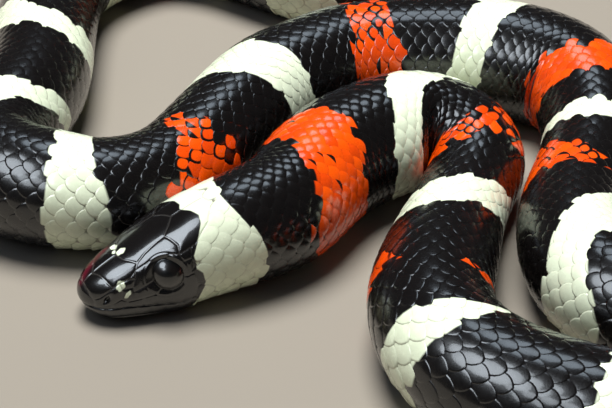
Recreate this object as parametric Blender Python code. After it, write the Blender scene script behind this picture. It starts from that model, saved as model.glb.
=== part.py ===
"""A milk snake at rest on the floor, life size: its head, jaw and eyes, the lengths of its
body and its tail, each one closed solid. Lengths in the tables are in millimetres."""
import math

import bmesh
import bpy
import numpy as np
from mathutils import Vector

MM = 0.001
GAP = 0.3            # free space between neighbouring pieces
STEP = 2.4           # distance between the rings of the body
BEND_STEP = 1.7      # the same where the body bends tightly
TIGHT = 14.0         # a bend of less radius than this is a tight one
SIDES = 18           # corners of a ring of the body
HEAD_SIDES = 28      # corners of a ring of the head
HEAD_STEP = 0.65     # distance between the rings of the head
INNER = 0.97         # the inside of a bend keeps clear of the bend's own centre by this share
SOFTEN = 6           # how suddenly it does so

# The line of the back seen from above, from the tip of the snout to the tip of the tail.
ROUTE = (
    (-22.9, -18.4), (-18.9, -16.6), (-15.2, -14.9), (-11.65, -13.5), (-7.1, -11.35), (-2.2, -7.9),
    (0.4, -3.8), (3.6, 0.5), (7.4, 3.4), (10.9, 5.2), (14.7, 5.4), (17.5, 3.3),
    (18.25, 0.1), (17.35, -3.2), (16.2, -6.6), (15.1, -10.2), (14.1, -14.0), (12.9, -18.8),
    (12.3, -23.4), (13.1, -28.3), (15.6, -32.6), (19.2, -35.7), (25.2, -38.7), (33.5, -42.0),
    (41.0, -43.7), (48.0, -44.0), (54.4, -41.4), (57.0, -35.0), (54.4, -28.6), (48.0, -26.0),
    (39.5, -25.5), (33.6, -24.1), (30.2, -21.4), (28.0, -17.3), (27.5, -11.6), (28.55, -5.8),
    (30.5, 0.1), (31.6, 5.0), (31.6, 10.2), (29.7, 15.0), (25.5, 18.0), (21.1, 19.5),
    (15.5, 20.4), (9.7, 20.4), (4.0, 19.3), (0.0, 17.1), (-3.4, 14.8), (-6.2, 11.4),
    (-8.8, 7.3), (-11.6, 2.9), (-15.0, -1.7), (-18.3, -4.0), (-22.0, -5.1), (-26.4, -4.6),
    (-30.3, -3.2), (-33.2, -0.1), (-33.8, 4.2), (-32.4, 8.9), (-30.9, 14.0), (-30.5, 22.0),
    (-30.5, 30.0), (-29.4, 37.0), (-25.0, 43.0), (-18.0, 46.5), (-10.0, 44.9), (-3.0, 40.6),
    (4.0, 37.8), (11.0, 38.6), (17.0, 44.0), (19.0, 51.0), (14.5, 57.5), (5.0, 60.5),
    (-10.0, 61.0), (-25.0, 62.0), (-38.0, 64.0), (-46.0, 70.0), (-46.0, 79.0), (-38.0, 85.0),
    (-22.0, 86.0), (-5.0, 84.0), (10.0, 84.0), (22.0, 87.0), (30.0, 91.0),
)

# Half the width of the body, by the distance from the snout.
GIRTH = ((22, 6.2), (26, 6.4), (31, 6.65), (37, 6.8), (44, 6.6), (50, 5.8), (56, 5.15),
         (63, 5.4), (70, 6.05), (80, 6.5), (92, 6.6), (115, 6.5), (150, 6.4), (172, 6.2),
         (183, 5.85), (194, 5.8), (203, 6.3), (213, 6.8), (225, 6.65), (240, 6.35), (252, 6.05),
         (263, 5.7), (276, 6.3), (300, 6.2), (350, 6.0), (400, 5.7), (440, 5.25), (475, 4.5),
         (505, 3.3), (530, 1.8), (546, 0.7))

# The head and the neck, by the distance from the snout: half their width, their top and base.
HEAD = ((0.0, 0.8, 3.5, 2.3), (0.35, 1.5, 4.1, 1.7), (1.0, 2.25, 4.75, 1.15),
        (2.0, 2.95, 5.45, 0.7), (3.5, 3.55, 6.3, 0.35), (5.5, 4.1, 7.3, 0.15),
        (8.0, 4.65, 8.6, 0.05), (10.5, 5.2, 9.75, 0.0), (12.5, 5.5, 10.75, 0.0),
        (15.0, 5.75, 11.55, 0.0), (18.0, 5.95, 11.95, 0.0), (22.0, 6.2, 12.1, 0.0),
        (26.0, 6.4, 12.16, 0.0))
HEAD_END = 15.0      # where the neck takes over from the head
JAW_END = 9.0        # from here on back the head's section turns round
HEAD_SQUARE = 0.78   # below one, the flat sides and crown of the head's section
HEAD_LIPS = 0.72     # how low its widest line lies, as a share of the body's
ROUND_TOP = 1.9      # height of the body in halves of its width, less than two for the flat belly
CENTRE = 0.9         # height of its widest line in the same measure

# Where the body is parted into its lengths, by the distance from the snout.
CUTS = (36.0, 66.0, 104.0, 128.0, 154.0, 182.0, 212.0, 240.0, 268.0, 302.0, 330.0, 356.0,
        384.0, 412.0, 440.0, 468.0, 500.0)
VENT = 468.0         # the tail starts here

# The mouth, in the head's own frame: distance from the snout, height of the line of the lips.
MOUTH = ((-1.0, 2.35), (1.2, 2.3), (4.0, 2.55), (7.0, 2.35), (9.5, 2.2), (11.2, 2.75), (12.4, 3.4))
MOUTH_REACH = 9.0    # the block that parts the jaw from the head reaches this far sideways
MOUTH_FLOOR = -2.0   # and down to here
EYE = (8.65, 3.1, 5.35)   # centre of the eyeball: along the head, sideways, up
EYE_RADIUS = 1.95
NOSTRIL = (2.4, 3.05, 3.7)
NOSTRIL_RADIUS = 0.32
BROW = (8.0, 2.4, 0.22)   # middle, half length and depth of the ridge over the eye
BROW_SIDE = 0.74     # how far out on the crown it runs, as a share of half the width
BROW_SPREAD = 0.2    # and how far it spreads

COLOURS = {"black": (0.012, 0.011, 0.014), "cream": (0.72, 0.78, 0.55), "eye": (0.004, 0.004, 0.005)}


def smooth(points, steps_per_unit=10):
    """A natural cubic curve through the points, as many closely spaced ones. The first column
    is its parameter and grows all the way."""
    knots = np.array(points, float)
    count = len(knots)
    gaps = np.diff(knots[:, 0])
    system = np.eye(count)
    right = np.zeros((count, knots.shape[1] - 1))
    values = knots[:, 1:]
    for i in range(1, count - 1):
        system[i, i - 1:i + 2] = gaps[i - 1], 2 * (gaps[i - 1] + gaps[i]), gaps[i]
        right[i] = 6 * ((values[i + 1] - values[i]) / gaps[i] - (values[i] - values[i - 1]) / gaps[i - 1])
    bend = np.linalg.solve(system, right)
    at = np.linspace(knots[0, 0], knots[-1, 0], int((knots[-1, 0] - knots[0, 0]) * steps_per_unit))
    i = np.clip(np.searchsorted(knots[:, 0], at, side="right") - 1, 0, count - 2)
    wide = gaps[i][:, None]
    high = (knots[i + 1, 0] - at)[:, None] / wide
    low = 1 - high
    curve = high * values[i] + low * values[i + 1]
    curve += ((high ** 3 - high) * bend[i] + (low ** 3 - low) * bend[i + 1]) * wide ** 2 / 6
    return at, curve


def back_line():
    """The distance from the snout, the place and the heading all along the route."""
    route = np.array(ROUTE)
    chord = np.concatenate([[0], np.cumsum(np.linalg.norm(np.diff(route, axis=0), axis=1))])
    _, line = smooth(np.column_stack([chord, route]))
    run = np.concatenate([[0], np.cumsum(np.linalg.norm(np.diff(line, axis=0), axis=1))])
    heading = np.gradient(line, axis=0)
    heading /= np.linalg.norm(heading, axis=1)[:, None]
    turn = np.gradient(np.unwrap(np.arctan2(heading[:, 1], heading[:, 0]))) / np.gradient(run)
    return run, line, heading, turn


RUN, LINE, HEADING, TURN = back_line()
GIRTH_AT, GIRTH_CURVE = smooth(GIRTH)
HEAD_AT, HEAD_CURVE = smooth(HEAD, 40)


def frame_at(run):
    """Place, heading and signed bend of the back at a distance from the snout."""
    place = np.array([np.interp(run, RUN, LINE[:, k]) for k in (0, 1)])
    heading = np.array([np.interp(run, RUN, HEADING[:, k]) for k in (0, 1)])
    return place, heading / np.linalg.norm(heading), np.interp(run, RUN, TURN)


def section(run):
    """Half width, top, bottom and roundness of the animal at a distance from the snout."""
    if run < HEAD[-1][0]:
        width, top, bottom = (np.interp(run, HEAD_AT, HEAD_CURVE[:, k]) for k in range(3))
        return width, top, max(bottom, 0.0), min(max((run - JAW_END) / (HEAD_END - JAW_END), 0.0), 1.0)
    half = np.interp(run, GIRTH_AT, GIRTH_CURVE[:, 0])
    return half, ROUND_TOP * half, 0.0, 1.0


def brow_depth(run, angle):
    """How far the ridge over each eye stands out."""
    middle, reach, depth = BROW
    along = math.exp(-((run - middle) / reach) ** 4)
    around = math.exp(-((abs(math.cos(angle)) - BROW_SIDE) / BROW_SPREAD) ** 2)
    return depth * along * around if math.sin(angle) > 0 else 0.0


def ring(run, sides, shift=0.0):
    """The corners of one cross-section; a shift moves it along its heading without turning it."""
    place, heading, turn = frame_at(run)
    width, top, bottom, roundness = section(run)
    square = HEAD_SQUARE + (1 - HEAD_SQUARE) * roundness
    half = (top - bottom) / ROUND_TOP
    widest = bottom + CENTRE * half * (HEAD_LIPS + (1 - HEAD_LIPS) * roundness)
    above, below = top - widest, widest - bottom + (1 - CENTRE) * half
    bend_radius = 1 / max(abs(turn), 1e-6)
    right = np.array([heading[1], -heading[0]])
    corners = []
    for k in range(sides):
        angle = 2 * math.pi * k / sides
        c, s = math.cos(angle), math.sin(angle)
        reach = width + (brow_depth(run, angle) if run < HEAD_END else 0.0)
        if c * turn < 0:
            crowding = reach / (INNER * bend_radius)
            reach *= (1 + crowding ** SOFTEN) ** (-1 / SOFTEN)
        side = reach * math.copysign(abs(c) ** square, c)
        up = widest + (above if s > 0 else -below) * abs(s) ** square
        x, y = place + heading * shift + right * side
        corners.append(Vector((x, y, max(up, bottom))) * MM)
    return corners


def stations(start, end, step=None):
    """Distances of the rings from start to end, closer together in tight bends."""
    runs = [start]
    while runs[-1] < end:
        turn = abs(frame_at(runs[-1])[2])
        runs.append(runs[-1] + (step or (BEND_STEP if turn > 1 / TIGHT else STEP)))
    shrink = (end - start) / (runs[-1] - start)
    return [start + (run - start) * shrink for run in runs]


def loft(name, rings):
    """One closed body through the rings, with a flat face at either end."""
    mesh = bmesh.new()
    loops = [[mesh.verts.new(corner) for corner in corners] for corners in rings]
    for first, second in zip(loops, loops[1:]):
        for k in range(len(first)):
            after = (k + 1) % len(first)
            mesh.faces.new((first[k], second[k], second[after], first[after]))
    mesh.faces.new(loops[0])
    mesh.faces.new(loops[-1][::-1])
    bmesh.ops.recalc_face_normals(mesh, faces=mesh.faces)
    return to_object(name, mesh)


def to_object(name, mesh):
    """Turns a mesh under work into an object of the scene."""
    data = bpy.data.meshes.new(name)
    mesh.to_mesh(data)
    mesh.free()
    piece = bpy.data.objects.new(name, data)
    bpy.context.scene.collection.objects.link(piece)
    return piece


def give_finish(piece, colour, roughness):
    """One plain finish over the whole piece, with its normals smoothed."""
    material = bpy.data.materials.new(piece.name)
    material.use_nodes = True
    shader = material.node_tree.nodes["Principled BSDF"]
    shader.inputs["Base Color"].default_value = (*COLOURS[colour], 1)
    shader.inputs["Roughness"].default_value = roughness
    shader.inputs["Metallic"].default_value = 0.0
    piece.data.materials.clear()
    piece.data.materials.append(material)
    piece.data.shade_smooth()


def head_point(along, side, up):
    """A point given along the head from the snout, out to its left and up from the floor."""
    place, heading, _ = frame_at(along)
    left = np.array([heading[1], -heading[0]])
    x, y = place + left * side
    return Vector((x, y, up)) * MM


def cut(piece, cutter, operation="DIFFERENCE"):
    """Applies one Boolean to the piece and leaves the cutter for the caller."""
    modifier = piece.modifiers.new("cut", "BOOLEAN")
    modifier.object = cutter
    modifier.operation = operation
    modifier.solver = "EXACT"
    evaluated = piece.evaluated_get(bpy.context.evaluated_depsgraph_get())
    shaped = bpy.data.meshes.new_from_object(evaluated)
    piece.modifiers.clear()
    piece.data = shaped


def remove(*pieces):
    """Takes the pieces out of the file."""
    for piece in pieces:
        bpy.data.objects.remove(piece)


def ball(name, centre, radius, segments=18, rings=10):
    """A ball in millimetres about a centre in metres."""
    mesh = bmesh.new()
    bmesh.ops.create_uvsphere(mesh, u_segments=segments, v_segments=rings, radius=radius * MM)
    bmesh.ops.translate(mesh, verts=mesh.verts, vec=centre)
    return to_object(name, mesh)


def mouth_block(name, lowered):
    """The space under the line of the lips, as wide as the head and more."""
    at, line = smooth(MOUTH, 4)
    back = MOUTH[-1][0] - lowered
    profile = [(run, height - lowered) for run, height in zip(at, line[:, 0]) if run < back]
    profile.append((back, profile[-1][1]))
    profile += [(back, MOUTH_FLOOR), (profile[0][0], MOUTH_FLOOR)]
    start, heading, _ = frame_at(0.0)
    right = np.array([heading[1], -heading[0]])
    mesh = bmesh.new()
    walls = []
    for side in (-MOUTH_REACH, MOUTH_REACH):
        corners = []
        for run, height in profile:
            x, y = start + heading * run + right * side
            corners.append(mesh.verts.new(Vector((x, y, height)) * MM))
        walls.append(corners)
    for k in range(len(profile)):
        after = (k + 1) % len(profile)
        mesh.faces.new((walls[0][k], walls[0][after], walls[1][after], walls[1][k]))
    mesh.faces.new(walls[0][::-1])
    mesh.faces.new(walls[1])
    bmesh.ops.recalc_face_normals(mesh, faces=mesh.faces)
    return to_object(name, mesh)


def make_head():
    """The head with its sockets and nostrils, and the lower jaw parted from it along the lips."""
    runs = stations(0.0, HEAD_END, HEAD_STEP)
    rings = [ring(run, HEAD_SIDES) for run in runs[:-1]]
    rings.append(ring(HEAD_END, HEAD_SIDES, shift=-GAP / 2))
    head = loft("head", rings)
    jaw = loft("jaw", rings)
    for side, name in ((1, "eye_left"), (-1, "eye_right")):
        along, out, up = EYE
        centre = head_point(along, side * out, up)
        socket = ball("socket", centre, EYE_RADIUS + GAP)
        cut(head, socket)
        remove(socket)
        give_finish(ball(name, centre, EYE_RADIUS), "eye", 0.05)
        along, out, up = NOSTRIL
        bore = ball("bore", head_point(along, side * out, up), NOSTRIL_RADIUS, 10, 6)
        cut(head, bore)
        remove(bore)
    upper, lower = mouth_block("upper", 0.0), mouth_block("lower", GAP)
    cut(head, upper)
    cut(jaw, lower, "INTERSECT")
    remove(upper, lower)
    give_finish(head, "black", 0.18)
    give_finish(jaw, "black", 0.25)


def make_body():
    """The neck, the lengths of the body and the tail, each a loft between two cuts."""
    ends = [HEAD_END, *CUTS, GIRTH[-1][0]]
    for number, (start, end) in enumerate(zip(ends, ends[1:])):
        runs = stations(start, end)
        rings = [ring(start, SIDES, shift=GAP / 2)]
        rings += [ring(run, SIDES) for run in runs[1:-1]]
        rings.append(ring(end, SIDES, shift=-GAP / 2 if end < GIRTH[-1][0] else 0.0))
        name = "neck" if number == 0 else f"body_{number:02d}"
        if start >= VENT:
            name = f"tail_{CUTS.index(start) - CUTS.index(VENT) + 1}"
        give_finish(loft(name, rings), "cream" if number == 0 else "black", 0.3)


def centre_on_floor():
    """Moves everything so that the origin is at the middle of the base."""
    pieces = [piece for piece in bpy.context.scene.objects if piece.type == "MESH"]
    corners = np.array([vertex.co for piece in pieces for vertex in piece.data.vertices])
    low, high = corners.min(axis=0), corners.max(axis=0)
    middle = Vector(((low[0] + high[0]) / 2, (low[1] + high[1]) / 2, low[2]))
    for piece in pieces:
        for vertex in piece.data.vertices:
            vertex.co -= middle
        piece.data.update()
    print("middle of the base in the route's frame, mm:", [round(v / MM, 3) for v in middle])
    print("size, mm:", [round(v / MM, 2) for v in high - low])


def main():
    for thing in list(bpy.data.objects):
        bpy.data.objects.remove(thing)
    make_head()
    make_body()
    centre_on_floor()


main()
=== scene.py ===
# %% [markdown]
# # A milk snake at rest, life size
# The solids of the imported model give the animal's true outline. This lesson lays a skin, some
# five thousand scales, the plates of the head and two eyes over that outline, and paints the
# markings. It starts by loading the solids as a fixed frame.

# %% Start from the imported frame
import math

import bpy
import numpy as np
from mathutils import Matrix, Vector


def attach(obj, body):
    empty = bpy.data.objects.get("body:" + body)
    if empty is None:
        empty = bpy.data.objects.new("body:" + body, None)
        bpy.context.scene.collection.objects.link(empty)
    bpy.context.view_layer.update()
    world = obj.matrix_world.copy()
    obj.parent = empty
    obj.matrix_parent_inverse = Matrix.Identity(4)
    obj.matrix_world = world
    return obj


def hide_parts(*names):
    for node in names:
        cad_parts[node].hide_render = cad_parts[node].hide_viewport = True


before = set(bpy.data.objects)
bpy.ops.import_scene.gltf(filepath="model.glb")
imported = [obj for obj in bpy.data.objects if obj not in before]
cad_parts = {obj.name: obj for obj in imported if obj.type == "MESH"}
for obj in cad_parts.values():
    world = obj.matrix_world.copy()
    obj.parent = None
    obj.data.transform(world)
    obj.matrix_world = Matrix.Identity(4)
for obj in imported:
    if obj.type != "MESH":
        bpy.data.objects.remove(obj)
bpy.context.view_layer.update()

MM = 0.001

# %% [markdown]
# The camera looks down at the animal from about 38 degrees with a long lens, so near and far
# loops keep nearly the same size. It comes first, because every choice of detail depends on
# how large a scale is in the picture: about twenty pixels.

# %% The camera
MIDDLE = (5.753, 20.509)      # the middle of the base, counted in the route's own frame, mm
CAMERA_BACK = 175.2           # the camera's place in front of the route's origin, mm
CAMERA_UP = 136.9
LOOK_DOWN = 38.0              # degrees

lens = bpy.data.cameras.new("camera")
lens.lens = 120
lens.sensor_width = 36
lens.clip_start = 0.01
lens.clip_end = 10
camera = bpy.data.objects.new("camera", lens)
camera.location = Vector((-MIDDLE[0], -CAMERA_BACK - MIDDLE[1], CAMERA_UP)) * MM
camera.rotation_euler = (math.radians(90 - LOOK_DOWN), 0, 0)
bpy.context.collection.objects.link(camera)
bpy.context.scene.camera = camera
print("camera at", [round(v, 4) for v in camera.location])

# %% [markdown]
# The body follows one line over the floor. The tables repeat the values that shaped the solids:
# the line of the back, half the width of the body along it, and the head's width, top and base.
# A natural cubic curve through each table gives smooth values in between.

# %% The line of the back and the sizes along it
ROUTE = (
    (-22.9, -18.4), (-18.9, -16.6), (-15.2, -14.9), (-11.65, -13.5), (-7.1, -11.35), (-2.2, -7.9),
    (0.4, -3.8), (3.6, 0.5), (7.4, 3.4), (10.9, 5.2), (14.7, 5.4), (17.5, 3.3),
    (18.25, 0.1), (17.35, -3.2), (16.2, -6.6), (15.1, -10.2), (14.1, -14.0), (12.9, -18.8),
    (12.3, -23.4), (13.1, -28.3), (15.6, -32.6), (19.2, -35.7), (25.2, -38.7), (33.5, -42.0),
    (41.0, -43.7), (48.0, -44.0), (54.4, -41.4), (57.0, -35.0), (54.4, -28.6), (48.0, -26.0),
    (39.5, -25.5), (33.6, -24.1), (30.2, -21.4), (28.0, -17.3), (27.5, -11.6), (28.55, -5.8),
    (30.5, 0.1), (31.6, 5.0), (31.6, 10.2), (29.7, 15.0), (25.5, 18.0), (21.1, 19.5),
    (15.5, 20.4), (9.7, 20.4), (4.0, 19.3), (0.0, 17.1), (-3.4, 14.8), (-6.2, 11.4),
    (-8.8, 7.3), (-11.6, 2.9), (-15.0, -1.7), (-18.3, -4.0), (-22.0, -5.1), (-26.4, -4.6),
    (-30.3, -3.2), (-33.2, -0.1), (-33.8, 4.2), (-32.4, 8.9), (-30.9, 14.0), (-30.5, 22.0),
    (-30.5, 30.0), (-29.4, 37.0), (-25.0, 43.0), (-18.0, 46.5), (-10.0, 44.9), (-3.0, 40.6),
    (4.0, 37.8), (11.0, 38.6), (17.0, 44.0), (19.0, 51.0), (14.5, 57.5), (5.0, 60.5),
    (-10.0, 61.0), (-25.0, 62.0), (-38.0, 64.0), (-46.0, 70.0), (-46.0, 79.0), (-38.0, 85.0),
    (-22.0, 86.0), (-5.0, 84.0), (10.0, 84.0), (22.0, 87.0), (30.0, 91.0),
)

# Half the width of the body, by the distance from the snout.
GIRTH = ((22, 6.2), (26, 6.4), (31, 6.65), (37, 6.8), (44, 6.6), (50, 5.8), (56, 5.15),
         (63, 5.4), (70, 6.05), (80, 6.5), (92, 6.6), (115, 6.5), (150, 6.4), (172, 6.2),
         (183, 5.85), (194, 5.8), (203, 6.3), (213, 6.8), (225, 6.65), (240, 6.35), (252, 6.05),
         (263, 5.7), (276, 6.3), (300, 6.2), (350, 6.0), (400, 5.7), (440, 5.25), (475, 4.5),
         (505, 3.3), (530, 1.8), (546, 0.7))

# The head and the neck, by the distance from the snout: half their width, their top and base.
HEAD = ((0.0, 0.8, 3.5, 2.3), (0.35, 1.5, 4.1, 1.7), (1.0, 2.25, 4.75, 1.15),
        (2.0, 2.95, 5.45, 0.7), (3.5, 3.55, 6.3, 0.35), (5.5, 4.1, 7.3, 0.15),
        (8.0, 4.65, 8.6, 0.05), (10.5, 5.2, 9.75, 0.0), (12.5, 5.5, 10.75, 0.0),
        (15.0, 5.75, 11.55, 0.0), (18.0, 5.95, 11.95, 0.0), (22.0, 6.2, 12.1, 0.0),
        (26.0, 6.4, 12.16, 0.0))
JAW_END = 9.0
HEAD_END = 15.0
HEAD_SQUARE = 0.78
HEAD_LIPS = 0.72
ROUND_TOP = 1.9
CENTRE = 0.9
INNER = 0.97
SOFTEN = 6
BROW = (8.0, 2.4, 0.22)
BROW_SIDE = 0.74
BROW_SPREAD = 0.2


def smooth(points, steps_per_unit=10):
    """A natural cubic curve through the points, as many closely spaced ones. The first column
    is its parameter and grows all the way."""
    knots = np.array(points, float)
    count = len(knots)
    gaps = np.diff(knots[:, 0])
    system = np.eye(count)
    right = np.zeros((count, knots.shape[1] - 1))
    values = knots[:, 1:]
    for i in range(1, count - 1):
        system[i, i - 1:i + 2] = gaps[i - 1], 2 * (gaps[i - 1] + gaps[i]), gaps[i]
        right[i] = 6 * ((values[i + 1] - values[i]) / gaps[i] - (values[i] - values[i - 1]) / gaps[i - 1])
    bend = np.linalg.solve(system, right)
    at = np.linspace(knots[0, 0], knots[-1, 0], int((knots[-1, 0] - knots[0, 0]) * steps_per_unit))
    i = np.clip(np.searchsorted(knots[:, 0], at, side="right") - 1, 0, count - 2)
    wide = gaps[i][:, None]
    high = (knots[i + 1, 0] - at)[:, None] / wide
    low = 1 - high
    curve = high * values[i] + low * values[i + 1]
    curve += ((high ** 3 - high) * bend[i] + (low ** 3 - low) * bend[i + 1]) * wide ** 2 / 6
    return at, curve


def back_line():
    """The distance from the snout, the place and the heading all along the route."""
    route = np.array(ROUTE)
    chord = np.concatenate([[0], np.cumsum(np.linalg.norm(np.diff(route, axis=0), axis=1))])
    _, line = smooth(np.column_stack([chord, route]))
    run = np.concatenate([[0], np.cumsum(np.linalg.norm(np.diff(line, axis=0), axis=1))])
    heading = np.gradient(line, axis=0)
    heading /= np.linalg.norm(heading, axis=1)[:, None]
    turn = np.gradient(np.unwrap(np.arctan2(heading[:, 1], heading[:, 0]))) / np.gradient(run)
    return run, line, heading, turn


RUN, LINE, HEADING, TURN = back_line()
GIRTH_AT, GIRTH_CURVE = smooth(GIRTH)
HEAD_AT, HEAD_CURVE = smooth(HEAD, 40)
END = GIRTH[-1][0]
print(f"the animal is {RUN[-1]:.0f} mm long")

# %% [markdown]
# Everything on the animal is placed by two numbers: the distance from the snout, called run, and
# the way round the body. One function turns them into a point on the outline. The angle is 90
# degrees at the back and 0 on the right flank. In front of the first ring the snout is rounded,
# and the last millimetre and a half of the tail runs to a point.

# %% A point on the outline
NOSE = 0.15           # how far the snout reaches in front of the first ring, mm
ROUND_NOSE = 1.5      # up to here the snout is one round form
NOSE_POWER = 0.5
NOSE_UP = 2.9         # height of its foremost point
TIP = 1.5


def section(run):
    """Half width, top, base and roundness of the animal at each distance from the snout."""
    on_head = run < HEAD[-1][0]
    width, top, bottom = (np.interp(run, HEAD_AT, HEAD_CURVE[:, k]) for k in range(3))
    half = np.interp(run, GIRTH_AT, GIRTH_CURVE[:, 0])
    roundness = np.clip((run - JAW_END) / (HEAD_END - JAW_END), 0, 1)
    return (np.where(on_head, width, half), np.where(on_head, top, ROUND_TOP * half),
            np.where(on_head, np.maximum(bottom, 0), 0), np.where(on_head, roundness, 1))


def profile(run, angle):
    """The cross-section as distances sideways and up, and the half width it started from."""
    width, top, bottom, roundness = section(np.clip(run, ROUND_NOSE, END))
    front = np.clip((run + NOSE) / (ROUND_NOSE + NOSE), 0, 1) ** NOSE_POWER
    rear = np.clip(1 - (np.maximum(run - END + TIP, 0) / TIP) ** 2, 0, 1) ** 0.5
    middle = np.where(run < ROUND_NOSE, NOSE_UP, bottom)
    shrink = front * rear
    width, top, bottom = width * shrink, middle + (top - middle) * shrink, middle + (bottom - middle) * shrink
    square = HEAD_SQUARE + (1 - HEAD_SQUARE) * roundness
    half = (top - bottom) / ROUND_TOP
    widest = bottom + CENTRE * half * (HEAD_LIPS + (1 - HEAD_LIPS) * roundness)
    above, below = top - widest, widest - bottom + (1 - CENTRE) * half
    c, s = np.cos(angle), np.sin(angle)
    along = np.exp(-((run - BROW[0]) / BROW[1]) ** 4)
    brow = BROW[2] * along * np.exp(-((np.abs(c) - BROW_SIDE) / BROW_SPREAD) ** 2) * (s > 0)
    reach = width + brow
    return reach, np.sign(c) * np.abs(c) ** square, np.maximum(
        widest + np.where(s > 0, above, -below) * np.abs(s) ** square, bottom)


def outline(run, angle):
    """Points of the solids' own outline, in mm in the frame, with one more axis than the input."""
    run, angle = np.broadcast_arrays(np.asarray(run, float), np.asarray(angle, float))
    inside = np.clip(run, 0, RUN[-1])
    x, y = (np.interp(inside, RUN, LINE[:, k]) for k in (0, 1))
    hx, hy = (np.interp(inside, RUN, HEADING[:, k]) for k in (0, 1))
    size = np.hypot(hx, hy)
    hx, hy = hx / size, hy / size
    turn = np.interp(inside, RUN, TURN)
    reach, side, up = profile(run, angle)
    crowding = reach * np.abs(turn) / INNER
    softened = reach * (1 + crowding ** SOFTEN) ** (-1 / SOFTEN)
    side = side * np.where(side * turn < 0, softened, reach)
    x = x + hx * (run - inside) + hy * side - MIDDLE[0]
    y = y + hy * (run - inside) - hx * side - MIDDLE[1]
    return np.stack([x, y, up], axis=-1)


# %% [markdown]
# Scales are laid in rows, so the way round is better counted along the skin than as an angle:
# 0 is the middle of the back, 1 the middle of the belly on the right and -1 the same on the
# left. A table holds the angle for each of these shares at every half millimetre of the body.

# %% The way round, counted along the skin
STATION = 0.5
SHARES = 180
stations = np.arange(0, END + STATION, STATION)
quarter = np.linspace(math.pi / 2, -math.pi / 2, 361)
reach, side, up = profile(stations[:, None], quarter[None, :])
lengths = np.hypot(np.diff(reach * side, axis=1), np.diff(up, axis=1)).cumsum(axis=1)
lengths = np.concatenate([np.zeros((len(stations), 1)), lengths], axis=1)
HALF_GIRTH = lengths[:, -1]
ANGLE = np.array([np.interp(np.linspace(0, far[-1], SHARES + 1), far, quarter) for far in lengths])


def half_girth(run):
    """Length of skin from the middle of the back to the middle of the belly, in mm."""
    return np.interp(run, stations, HALF_GIRTH)


def angle_of(run, share):
    """The angle of a signed share of the way from the back to the belly."""
    i = np.clip(run / STATION, 0, len(stations) - 1.001)
    j = np.clip(np.abs(share) * SHARES, 0, SHARES - 0.001)
    i0, j0 = i.astype(int), j.astype(int)
    i, j = i - i0, j - j0
    angle = ((1 - i) * (1 - j) * ANGLE[i0, j0] + i * (1 - j) * ANGLE[i0 + 1, j0]
             + (1 - i) * j * ANGLE[i0, j0 + 1] + i * j * ANGLE[i0 + 1, j0 + 1])
    return np.where(share >= 0, angle, math.pi - angle)


def skin_point(run, share, lift):
    """A point so far from the outline, outwards where lift is positive, in mm."""
    run, share, lift = np.broadcast_arrays(run, share, lift)
    angle = angle_of(run, share)
    ahead = outline(run + 0.05, angle) - outline(run - 0.05, angle)
    around = outline(run, angle + 0.02) - outline(run, angle - 0.02)
    normal = np.cross(ahead, around)
    normal /= np.maximum(np.linalg.norm(normal, axis=-1, keepdims=True), 1e-9)
    return outline(run, angle) + normal * lift[..., None]


print("girth of the body at 100 mm:", round(2 * float(half_girth(100.0)), 1), "mm")

# %% [markdown]
# The markings repeat along the body: cream, black, orange, black. Each band is two edges, and an
# edge is a distance from the snout at the back, a slant across the body and a bow towards the
# flanks. The head is black up to a wavy line behind the eyes, with a few cream flecks on the
# snout. Functions give the share of cream and of orange anywhere, so that skin and scales agree.

# %% The markings
# start of the band and its end, each as distance, slant and bow, in mm
CREAM_BANDS = (
    ((40.0, -3.8, 0.0), (44.9, -4.0, 0.0)), ((61.2, 2.8, 0.0), (67.0, 2.8, -1.0)),
    ((84.6, -4.2, 2.3), (87.5, -1.7, 0.3)), ((100.6, 0.0, 0.4), (104.8, 0.0, 0.6)),
    ((120.0, 0.0, -0.8), (124.5, 0.0, 0.8)), ((136.5, 0.0, -0.8), (141.0, 0.0, 0.8)),
    ((153.0, 0.0, -0.8), (157.5, 0.0, 0.8)), ((171.9, 1.5, -3.2), (178.1, 5.2, -0.6)),
    ((193.9, 1.0, 0.5), (196.8, 0.8, -0.8)), ((215.2, -2.0, 0.6), (220.0, -1.8, 0.3)),
    ((244.4, 2.2, 0.3), (251.0, 3.0, 0.5)), ((271.9, 0.4, -0.6), (275.9, 0.8, 0.5)),
    ((286.5, 4.5, 2.8), (291.8, 2.9, 0.8)), ((303.7, -1.7, 0.5), (307.9, -3.2, 1.3)),
    ((324.2, 0.0, -0.6), (328.2, 0.0, 0.6)), ((345.5, 0.0, -0.6), (349.0, 0.0, 0.6)),
    ((356.0, 0.0, -0.6), (361.5, 0.0, 0.6)), ((378.0, 0.0, -0.6), (382.2, 0.0, 0.6)),
    ((398.5, 0.0, -0.6), (402.5, 0.0, 0.6)), ((419.0, 0.0, -0.6), (422.8, 0.0, 0.6)),
    ((438.5, 0.0, -0.5), (442.2, 0.0, 0.5)), ((457.0, 0.0, -0.5), (460.4, 0.0, 0.5)),
    ((474.5, 0.0, -0.4), (477.6, 0.0, 0.4)), ((490.5, 0.0, -0.4), (493.4, 0.0, 0.4)),
    ((505.5, 0.0, -0.3), (508.0, 0.0, 0.3)), ((519.0, 0.0, -0.2), (521.4, 0.0, 0.2)),
    ((532.0, 0.0, -0.2), (534.0, 0.0, 0.2)),
)
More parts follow.
